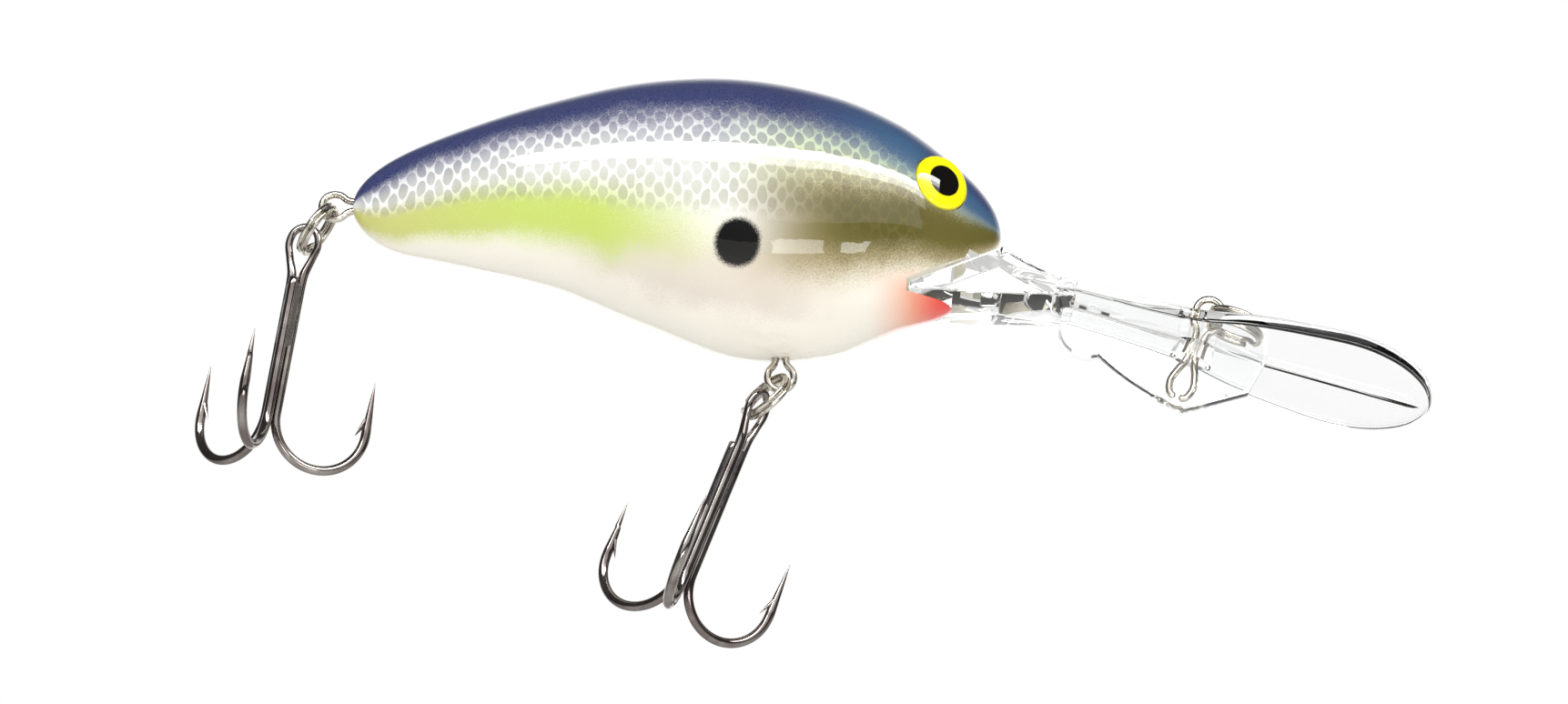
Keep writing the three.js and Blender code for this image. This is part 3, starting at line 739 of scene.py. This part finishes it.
# ---- operators ----
class LURE_OT_body(bpy.types.Operator):
    """Builds the two painted halves of the body, with their mouth, sockets and wire channels"""

    bl_idname = "lure.body"
    bl_label = "Body halves"

    def execute(self, context):
        sizes = context.scene.lure_body
        skin = body_solid(0, sizes.rings, sizes.around)
        cavity = body_solid(mm(sizes.wall), 56, 64)
        for bm, place, way in ((skin, (0, 0, 0), (0, 1, 0)),
                               (cavity, (BULKHEAD_X, 0, 0), (1, 0, 0))):
            cut = bmesh.ops.bisect_plane(bm, geom=everything(bm), dist=1e-5, plane_co=place,
                                         plane_no=way, clear_outer=True)["geom_cut"]
            bmesh.ops.contextual_create(bm, geom=of_kind(cut, bmesh.types.BMEdge))
        bmesh.ops.recalc_face_normals(cavity, faces=cavity.faces)
        at, normal = eye_place(-1)
        socket, socket_radius, depth = bmesh.new(), EYE_RADIUS + 0.12, 6
        bmesh.ops.create_cone(
            socket, cap_ends=True, segments=72, radius1=socket_radius, radius2=socket_radius,
            depth=depth, matrix=Matrix.Translation(at + normal * (depth / 2 - SOCKET_DEPTH))
            @ turned_to(normal))
        tools = [cavity, plate(MOUTH, -20, 20), tongue_plate(FIT_GAP), socket]
        wire_clearance = 0.06
        radius = mm(context.scene.lure_hardware.wire) + wire_clearance
        for name in ("belly_hanger", "tail_hanger"):
            channel = sweep(wire_path(name, 60), [radius] * 61, 12)
            bmesh.ops.recalc_face_normals(channel, faces=channel.faces)
            tools.append(channel)
        half = combine(skin, tools, "DIFFERENCE")
        materials = [painted_body(sizes), moulded_abs()]
        # The half that was drawn is the right one, at -Y.
        for side in ("right", "left"):
            bm = half.copy()
            if side == "left":
                bmesh.ops.mirror(bm, geom=everything(bm), matrix=Matrix.Identity(4),
                                 merge_dist=-1, axis="Y")
                gone = [v for v in bm.verts if v.co.y < -1e-5]
                bmesh.ops.delete(bm, geom=gone, context="VERTS")
            self.mark_skin(bm)
            finish_piece(f"body_paint_{side}", bm, materials, "lure",
                         [f"body_shell_{side}"], angle=30)
        half.free()
        return {"FINISHED"}

    @staticmethod
    def mark_skin(bm):
        """Stores where each point is on the skin, and gives cut faces the bare plastic."""
        layer = bm.verts.layers.float_vector.new("skin")
        least, skin_depth, pole = 0.05, 0.965, 0.4
        for vert in bm.verts:
            x, _, z = vert.co
            middle, height, width = section(station_angle(x))
            height, width = max(height, least), max(width, least)
            rise = clamp((z - middle) / height, -1.0)
            # Girth upwards from the widest line, as the arc of the section's oval.
            girth = (0.55 * height + 0.45 * width) * math.asin(rise)
            vert[layer] = (x, middle + girth, (rise + 1) / 2)
        for face in bm.faces:
            x, y, z = face.calc_center_median()
            middle, height, width = section(station_angle(x))
            depth = ((abs(y) / max(width, least)) ** SECTION_POWER
                     + (abs(z - middle) / max(height, least)) ** SECTION_POWER)
            inside = depth < skin_depth and TAIL_X + pole < x < NOSE_X - pole
            face.material_index = 1 if inside else 0


class LURE_OT_lip(bpy.types.Operator):
    """Builds the clear diving lip with its root, fin, boss and rib"""

    bl_idname = "lure.lip"
    bl_label = "Diving lip"

    def execute(self, context):
        sizes = context.scene.lure_lip
        right = [Vector((a, -b, 0)) for a, b in LIP_OUTLINE]
        left = [Vector((a, b, 0)) for a, b in reversed(LIP_OUTLINE)]
        edge = smooth_path(right + [Vector((LIP_TIP, 0, 0))] + left, 110)
        half = mm(sizes.board) / 2
        board = plate([(p.x, p.y) for p in edge], -half, half, "Z")
        rim = [e for e in board.edges if not e.is_boundary and e.calc_face_angle(0) > 1.2]
        bmesh.ops.bevel(board, geom=rim, offset=mm(sizes.edge), offset_type="OFFSET",
                        affect="EDGES", segments=4, profile=0.5, material=-1)
        rib_step, rows = 0.75, 32
        rib = sweep([Vector((2.0 + k * rib_step, 0, -half + 0.12)) for k in range(rows)],
                    rounded_ends([RIB_RADIUS] * rows, rib_step, 1.6), 14)
        for piece in (board, rib):
            bmesh.ops.transform(piece, matrix=slope_matrix(), verts=piece.verts)
            bmesh.ops.recalc_face_normals(piece, faces=piece.faces)
        root = plate(self.root_outline(), -ROOT_HALF, ROOT_HALF)
        fin = plate(self.fin_outline(), -mm(sizes.fin) / 2, mm(sizes.fin) / 2)
        for piece, offset in ((root, 0.3), (fin, 0.4)):
            rim = [e for e in piece.edges if abs(e.verts[0].co.y - e.verts[1].co.y) < 1e-6]
            bmesh.ops.bevel(piece, geom=rim, offset=offset, offset_type="OFFSET",
                            affect="EDGES", segments=3, profile=0.5, material=-1,
                            clamp_overlap=True)
        disc, boss = bmesh.new(), bmesh.new()
        bmesh.ops.create_cone(
            disc, cap_ends=True, segments=64, radius1=3.5, radius2=3.5, depth=3.0,
            matrix=Matrix.Translation((-14.0, 0, -2.0)) @ Matrix.Rotation(math.pi / 2, 4, "X"))
        bmesh.ops.create_cone(
            boss, cap_ends=True, segments=48, radius1=2.2, radius2=2.8, depth=3.2,
            matrix=Matrix.Translation(TIE_DIRECTION * 4.9) @ turned_to(TIE_DIRECTION))
        joined = combine(board, [tongue_plate(0), root, fin, disc, boss, rib], "UNION")
        lip = finish_piece("clear_lip", joined, [clear_polycarbonate()], "lure",
                           ["diving_lip"], angle=28)
        # Light reaches the mouth and the back of the board through the clear plastic.
        lip.visible_shadow = False
        lip.visible_diffuse = False
        return {"FINISHED"}

    @staticmethod
    def root_outline():
        """Side view of the wedge that fills the mouth and thins into the board."""
        return [(-35.0, 1.85), (-35.0, 1.1), (-27.5, 0.35),
                *bend_points((-27.5, 0.35), (-22.5, 0.3), (-16, 0.1), 6), (-15, 1.2),
                *bend_points((-15, 1.2), (-21, 3.6), (-24.2, 6.1), 8)]

    @staticmethod
    def fin_outline():
        """Side view of the fin under the board."""
        return [(-18, 1.2), *bend_points((-18, 1.2), (-12.5, -8.2), (-3.3, -12.1), 14),
                *bend_points((-3.3, -12.1), (-0.5, -11.4), (4.2, -10.1), 6),
                (5.6, -7.6), (6.5, -6.2), (6, -5.4)]


class LURE_OT_eyes(bpy.types.Operator):
    """Builds the two domed eyes"""

    bl_idname = "lure.eyes"
    bl_label = "Eyes"

    def execute(self, context):
        for name, side, replaced in (("domed_eye_right", -1, "eye_right"),
                                     ("domed_eye_left", 1, "eye_left")):
            at, normal = eye_place(side)
            bm = bmesh.new()
            line = [(0, 0), (EYE_RADIUS - 0.1, 0), (EYE_RADIUS, 0.1), (EYE_RADIUS, 1.0)]
            line += [(EYE_RADIUS * math.cos(a), 1.0 + 0.9 * math.sin(a))
                     for a in (k * math.pi / 32 for k in range(1, 16))]
            line += [(0, 1.9)]
            verts = [bm.verts.new((r, 0, h)) for r, h in line]
            for a, b in zip(verts, verts[1:]):
                bm.edges.new((a, b))
            bmesh.ops.spin(bm, geom=bm.verts[:] + bm.edges[:], cent=(0, 0, 0), axis=(0, 0, 1),
                           angle=2 * math.pi, steps=64, use_merge=True, use_duplicate=False)
            seat = Matrix.Translation(at + normal * (FIT_GAP - SOCKET_DEPTH))
            bmesh.ops.transform(bm, matrix=seat @ turned_to(normal), verts=bm.verts)
            finish_piece(name, bm, [printed_eye(side)], "lure", [replaced])
        return {"FINISHED"}


class LURE_OT_wires(bpy.types.Operator):
    """Builds the line tie and the two hook hangers from round wire"""

    bl_idname = "lure.wires"
    bl_label = "Line tie and hangers"

    def execute(self, context):
        sizes = context.scene.lure_hardware
        radius = mm(sizes.wire)
        material = plated_metal("bright_nickel_wire", (sizes.nickel, "#B8B1A4"),
                                0.06, 0.16, 2.5)
        for name in HANGERS:
            path = wire_path(name)
            step = (path[1] - path[0]).length
            bm = sweep(path, rounded_ends([radius] * len(path), step, radius * 0.6), 18)
            finish_piece(f"{name}_round", bm, [material], "lure", [name])
        return {"FINISHED"}


class LURE_OT_rings(bpy.types.Operator):
    """Builds the three double-coil split rings"""

    bl_idname = "lure.rings"
    bl_label = "Split rings"

    def execute(self, context):
        sizes = context.scene.lure_hardware
        material = plated_metal("nickel_split_ring", (sizes.nickel, "#A9A294"),
                                0.07, 0.2, 1.6)
        radius, wire = mm(sizes.ring_radius), mm(sizes.ring_wire)
        turns, gap = 220, 0.3
        for name, (link, along, across, start) in RINGS.items():
            d = Vector(along).normalized()
            side = Vector(across)
            side = (side - d * d.dot(side)).normalized()
            normal = d.cross(side)
            spin = Matrix.Rotation(math.radians(start), 4, normal)
            first, second = spin @ d, normal.cross(spin @ d)
            centre = link + d * (RING_LINK + radius)
            path = []
            for i in range(turns + 1):
                angle = gap + i / turns * (4 * math.pi - 2 * gap)
                to_step = clamp((angle - 2 * math.pi) / gap, -1.0)
                path.append(centre + first * radius * math.cos(angle)
                            + second * radius * math.sin(angle)
                            + normal * RING_PITCH / 2 * math.sin(to_step * math.pi / 2))
            bm = sweep(path, [wire] * len(path), 14, facing=normal)
            finish_piece(f"{name}_coil", bm, [material], name, [name])
        return {"FINISHED"}


class LURE_OT_trebles(bpy.types.Operator):
    """Builds the two treble hooks: a double hook, a single hook and their brazed joint"""

    bl_idname = "lure.trebles"
    bl_label = "Treble hooks"

    def execute(self, context):
        sizes = context.scene.lure_hardware
        metal = plated_metal("black_nickel_hook",
                             (sizes.black_nickel, "#7A716E"), 0.05, 0.13, 4.0)
        braze = brazed_joint()
        for body, (ring, tilt, turn, slack) in TREBLES.items():
            link, along, _, _ = RINGS[ring]
            d = Vector(along).normalized()
            far = link + d * (RING_LINK + 2 * mm(sizes.ring_radius))
            lean = math.radians(tilt)
            up = Vector((math.sin(lean), 0, math.cos(lean)))
            place = (Matrix.Translation(far + up * slack) @ Matrix.Rotation(lean, 4, "Y")
                     @ Matrix.Rotation(math.radians(turn), 4, "Z"))
            for kind, bm in (("double", self.double_hook(sizes)),
                             ("single", self.single_hook(sizes))):
                bmesh.ops.transform(bm, matrix=place, verts=bm.verts)
                finish_piece(f"{body}_{kind}_hook", bm, [metal], body,
                             [f"{body}_{kind}"])
            bm = self.fillet()
            bmesh.ops.transform(bm, matrix=place, verts=bm.verts)
            finish_piece(f"{body}_braze", bm, [braze], body, angle=40)
        return {"FINISHED"}

    @staticmethod
    def hook_run(angle, sizes):
        """Points down a shank, round the bend and up to the point, with their radii."""
        wire = mm(sizes.hook_wire)
        bend = (HOOK_REACH - HOOK_SHANK) / 2
        bend_run = HOOK_BOTTOM - CAD_HOOK_WIRE - bend
        out = Vector((math.cos(angle), math.sin(angle), 0))
        path = [out * HOOK_SHANK + Vector((0, 0, -run)) for run in
                [SHANK_START + k * (bend_run - SHANK_START) / 26 for k in range(26)]]
        for i in range(41):
            a = i / 40 * math.pi
            path.append(out * (HOOK_SHANK + bend * (1 - math.cos(a)))
                        - Vector((0, 0, bend_run + bend * math.sin(a))))
        radii = [wire] * len(path)
        leg = bend_run - HOOK_TIP
        for k in range(1, 25):
            rest = leg * (1 - k / 24)
            path.append(out * HOOK_REACH - Vector((0, 0, HOOK_TIP + rest)))
            # The point is ground to a long, slightly hollow needle.
            taper = min(1.0, rest / HOOK_CONE)
            radii.append(max(0.03, wire * taper ** 0.8))
        return path, radii

    @staticmethod
    def barb(bm, angle):
        """Sliver cut up from the inner side of the point, aimed down at the bend."""
        out = Vector((math.cos(angle), math.sin(angle), 0))
        root = out * (HOOK_REACH - 0.25) - Vector((0, 0, HOOK_TIP + HOOK_CONE - 1.3))
        tip = out * (HOOK_REACH - 1.25) - Vector((0, 0, HOOK_TIP + HOOK_CONE + 0.75))
        path = [root.lerp(tip, k / 8) for k in range(9)]
        sweep(path, [0.36 * (1 - k / 8) ** 0.8 + 0.02 for k in range(9)], 10, 0.7, bm=bm)

    def double_hook(self, sizes):
        """Two hooks bent from one wire, with the eye between them."""
        right, left = DOUBLE_ANGLES
        shank_x, shank_y = HOOK_SHANK * math.cos(right), HOOK_SHANK * math.sin(right)
        eye_side = [(shank_x + 0.02, 4.9), (shank_x + 0.12, 3.8), (1.33, 1.9), (HOOK_EYE, 0.1),
                    (1.3, -1.4)]
        loop = [Vector((x, shank_y, -run)) for x, run in eye_side]
        loop += [Vector((0, shank_y, 2.05))]
        loop += [Vector((-x, shank_y, -run)) for x, run in reversed(eye_side)]
        first, radii_a = self.hook_run(right, sizes)
        second, radii_b = self.hook_run(left, sizes)
        top = smooth_path([first[2], first[0]] + loop + [second[0], second[2]], 60)[4:-4]
        wire, thin = mm(sizes.hook_wire), mm(sizes.eye_wire)
        radii = []
        for point in top:
            share = clamp((point.z + SHANK_TOP) / 3.0)
            radii.append(wire + (thin - wire) * share * share * (3 - 2 * share))
        path = list(reversed(first[1:])) + top + second[1:]
        radii = list(reversed(radii_a[1:])) + radii + radii_b[1:]
        bm = sweep(path, radii, 18)
        for angle in (right, left):
            self.barb(bm, angle)
        return bm

    def single_hook(self, sizes):
        """Third hook, whose shank ends square below the eye."""
        path, radii = self.hook_run(SINGLE_ANGLE, sizes)
        # The shank stands off the other two, and comes back to its own line above the bend.
        for point in path:
            if point.z > -17.5 or point.y > -3:
                point.y -= 0.12 * clamp((19.5 + point.z) / 2)
        top = path[0] + Vector((0, 0, SHANK_START - SHANK_TOP))
        path = [top, top - Vector((0, 0, 0.12))] + path
        radii = [radii[0] * 0.82, radii[0]] + radii
        bm = sweep(path, radii, 18)
        self.barb(bm, SINGLE_ANGLE)
        return bm

    @staticmethod
    def fillet():
        """Braze that fills the grooves between the three shanks."""
        step, third = 0.4, math.radians(120)
        rows = round((BRAZE_END - BRAZE_TOP) / step) + 1
        path = [Vector((0, BRAZE_SHIFT, -BRAZE_TOP - k * step)) for k in range(rows)]
        bm = sweep(path, [1.0] * rows, 48, facing=Vector((1, 0, 0)))
        for vert in bm.verts:
            around, run = math.atan2(vert.co.y, vert.co.x), -vert.co.z
            # Flat between two wires, and hidden inside each of them.
            flat = (around - math.radians(90)) % third
            flat = min(flat, third - flat)
            reach = min(0.86 / math.cos(flat), 1.12)
            end = min(1.0, 0.55 + min(run - BRAZE_TOP, BRAZE_END - run) / 0.5)
            reach *= end * (1 + 0.03 * math.sin(run * 2.1 + around))
            vert.co.x = reach * math.cos(around)
            vert.co.y = reach * math.sin(around) + BRAZE_SHIFT
        return bm


class LURE_OT_weights(bpy.types.Operator):
    """Gives the ballast and the rattle balls their steel"""

    bl_idname = "lure.weights"
    bl_label = "Ballast and rattles"

    def execute(self, context):
        steel = lapped_steel()
        for name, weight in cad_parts.items():
            if name.startswith(("ballast", "rattle")):
                for slot in weight.material_slots:
                    slot.material = steel
        return {"FINISHED"}


class LURE_OT_stage(bpy.types.Operator):
    """Adds the floor, the lights and the camera"""

    bl_idname = "lure.stage"
    bl_label = "Stage"

    def execute(self, context):
        scene, studio = context.scene, context.scene.lure_studio
        bm = bmesh.new()
        bmesh.ops.create_grid(bm, x_segments=8, y_segments=8, size=2.5,
                              matrix=Matrix.Translation((-0.05, 0, -studio.floor_drop)))
        mesh = bpy.data.meshes.new("studio_floor")
        bm.to_mesh(mesh)
        bm.free()
        mesh.materials.append(studio_floor())
        floor = bpy.data.objects.new("studio_floor", mesh)
        scene.collection.objects.link(floor)

        target = Vector((-0.0495, 0, -0.00486))
        camera = bpy.data.cameras.new("camera")
        camera.sensor_width = 36.0
        camera.lens = 36.0 * studio.distance / studio.view_width
        camera.clip_start = 0.01
        viewer = bpy.data.objects.new("camera", camera)
        back = Vector((0, -math.cos(studio.elevation), math.sin(studio.elevation)))
        viewer.location = target + back * studio.distance
        viewer.rotation_euler = back.to_track_quat("Z", "Y").to_euler()
        scene.collection.objects.link(viewer)
        scene.camera = viewer

        # Azimuth and elevation of each light seen from the lure, its distance and size, its
        # share of the radiance, and the only kind of light it gives. The softbox is brightest
        # along its upper edge.
        lights = (
            ("softbox_top", 11, 40, 0.95, (1.6, 0.11), 1.55, "glossy"),
            ("softbox_middle", 11, 34, 0.95, (1.6, 0.1), 0.85, "glossy"),
            ("softbox_low", 11, 27, 0.95, (1.6, 0.13), 0.2, "glossy"),
            ("softbox_skirt", 8, 13, 0.95, (1.6, 0.34), 0.1, "glossy"),
            ("softbox_key", 8, 34, 0.95, (1.6, 0.4), 0.4, "diffuse"),
            ("near_strip_left", 6, -13, 0.9, (0.2, 0.15), 0.5, "glossy"),
            ("near_strip_right", 27, -14, 0.9, (0.2, 0.12), 0.6, "glossy"),
            ("under_fill", 0, -42, 0.55, (0.9, 0.35), 0.12, "diffuse"),
        )
        for name, azimuth, elevation, distance, size, share, kind in lights:
            light = bpy.data.lights.new(name, "AREA")
            light.shape = "RECTANGLE"
            light.size, light.size_y = size
            light.energy = studio.softbox * share * math.pi * size[0] * size[1]
            lamp = bpy.data.objects.new(name, light)
            a, e = math.radians(azimuth), math.radians(elevation)
            way = Vector((math.sin(a) * math.cos(e), -math.cos(a) * math.cos(e), math.sin(e)))
            lamp.location = Vector((-0.06, 0, 0.01)) + way * distance
            lamp.rotation_euler = way.to_track_quat("Z", "Y").to_euler()
            lamp.visible_glossy = kind == "glossy"
            lamp.visible_diffuse = kind == "diffuse"
            lamp.visible_camera = False
            scene.collection.objects.link(lamp)
        self.light_tent(scene)
        scene.view_settings.view_transform = "Standard"
        return {"FINISHED"}

    @staticmethod
    def light_tent(scene):
        """White backdrop behind the lure, in a room that is dim elsewhere."""
        world = bpy.data.worlds.new("light_tent")
        world.use_nodes = True
        scene.world = world
        tree = world.node_tree
        across = node(tree, "SeparateXYZ", (node(tree, "TexCoord")["Generated"],))[1]
        level = node(tree, "MapRange", (across, 0.42, 0.85, 0.1, 1.3),
                     interpolation_type="SMOOTHSTEP")[0]
        path = node(tree, "LightPath")
        # The lure lies close to the backdrop, so light that has passed through the clear lip
        # comes from white on nearly every side.
        sideways = node(tree, "Math", (across,), operation="ABSOLUTE")[0]
        through = node(tree, "MapRange", (sideways, 0.05, 0.6, 0.86, 1.15),
                       interpolation_type="SMOOTHSTEP")[0]
        unbroken = node(tree, "MapRange", (path["Glossy Depth"], 0.0, 1.0, 1.0, 0.62))[0]
        clear = mask(tree, path["Is Transmission Ray"], unbroken)
        for kind, value in ((clear, through), (path["Is Diffuse Ray"], scene.lure_studio.room),
                            (path["Is Camera Ray"], 1.0)):
            level = node(tree, "Mix", {"Factor": kind, 2: level, 3: value})[0]
        fill(tree, tree.nodes["Background"].inputs,
             {"Color": (1, 1, 1, 1), "Strength": level})


PARTS = (LURE_OT_body, LURE_OT_lip, LURE_OT_eyes, LURE_OT_wires, LURE_OT_rings,
         LURE_OT_trebles, LURE_OT_weights, LURE_OT_stage)


class LURE_PT_parts(bpy.types.Panel):
    """Lists the lure's parts in the sidebar"""

    bl_idname = "LURE_PT_parts"
    bl_label = "Crankbait Lure"
    bl_space_type = "VIEW_3D"
    bl_region_type = "UI"
    bl_category = "Lure"

    def draw(self, context):
        for part in PARTS:
            self.layout.operator(part.bl_idname)
        for name in GROUPS:
            group = getattr(context.scene, name)
            box = self.layout.box()
            for key in group.bl_rna.properties.keys():
                if key not in {"rna_type", "name"}:
                    box.prop(group, key)


GROUPS = {"lure_body": BodySizes, "lure_lip": LipSizes, "lure_hardware": HardwareSizes,
          "lure_studio": StudioSizes}
CLASSES = (*GROUPS.values(), *PARTS, LURE_PT_parts)


def register():
    for cls in CLASSES:
        bpy.utils.register_class(cls)
    for name, group in GROUPS.items():
        setattr(bpy.types.Scene, name, PointerProperty(type=group))


def unregister():
    for name in GROUPS:
        delattr(bpy.types.Scene, name)
    for cls in reversed(CLASSES):
        bpy.utils.unregister_class(cls)


def main():
    register()
    bpy.ops.lure.body()
    bpy.ops.lure.lip()
    bpy.ops.lure.eyes()
    bpy.ops.lure.wires()
    bpy.ops.lure.rings()
    bpy.ops.lure.trebles()
    bpy.ops.lure.weights()
    bpy.ops.lure.stage()


if __name__ == "__main__":
    main()
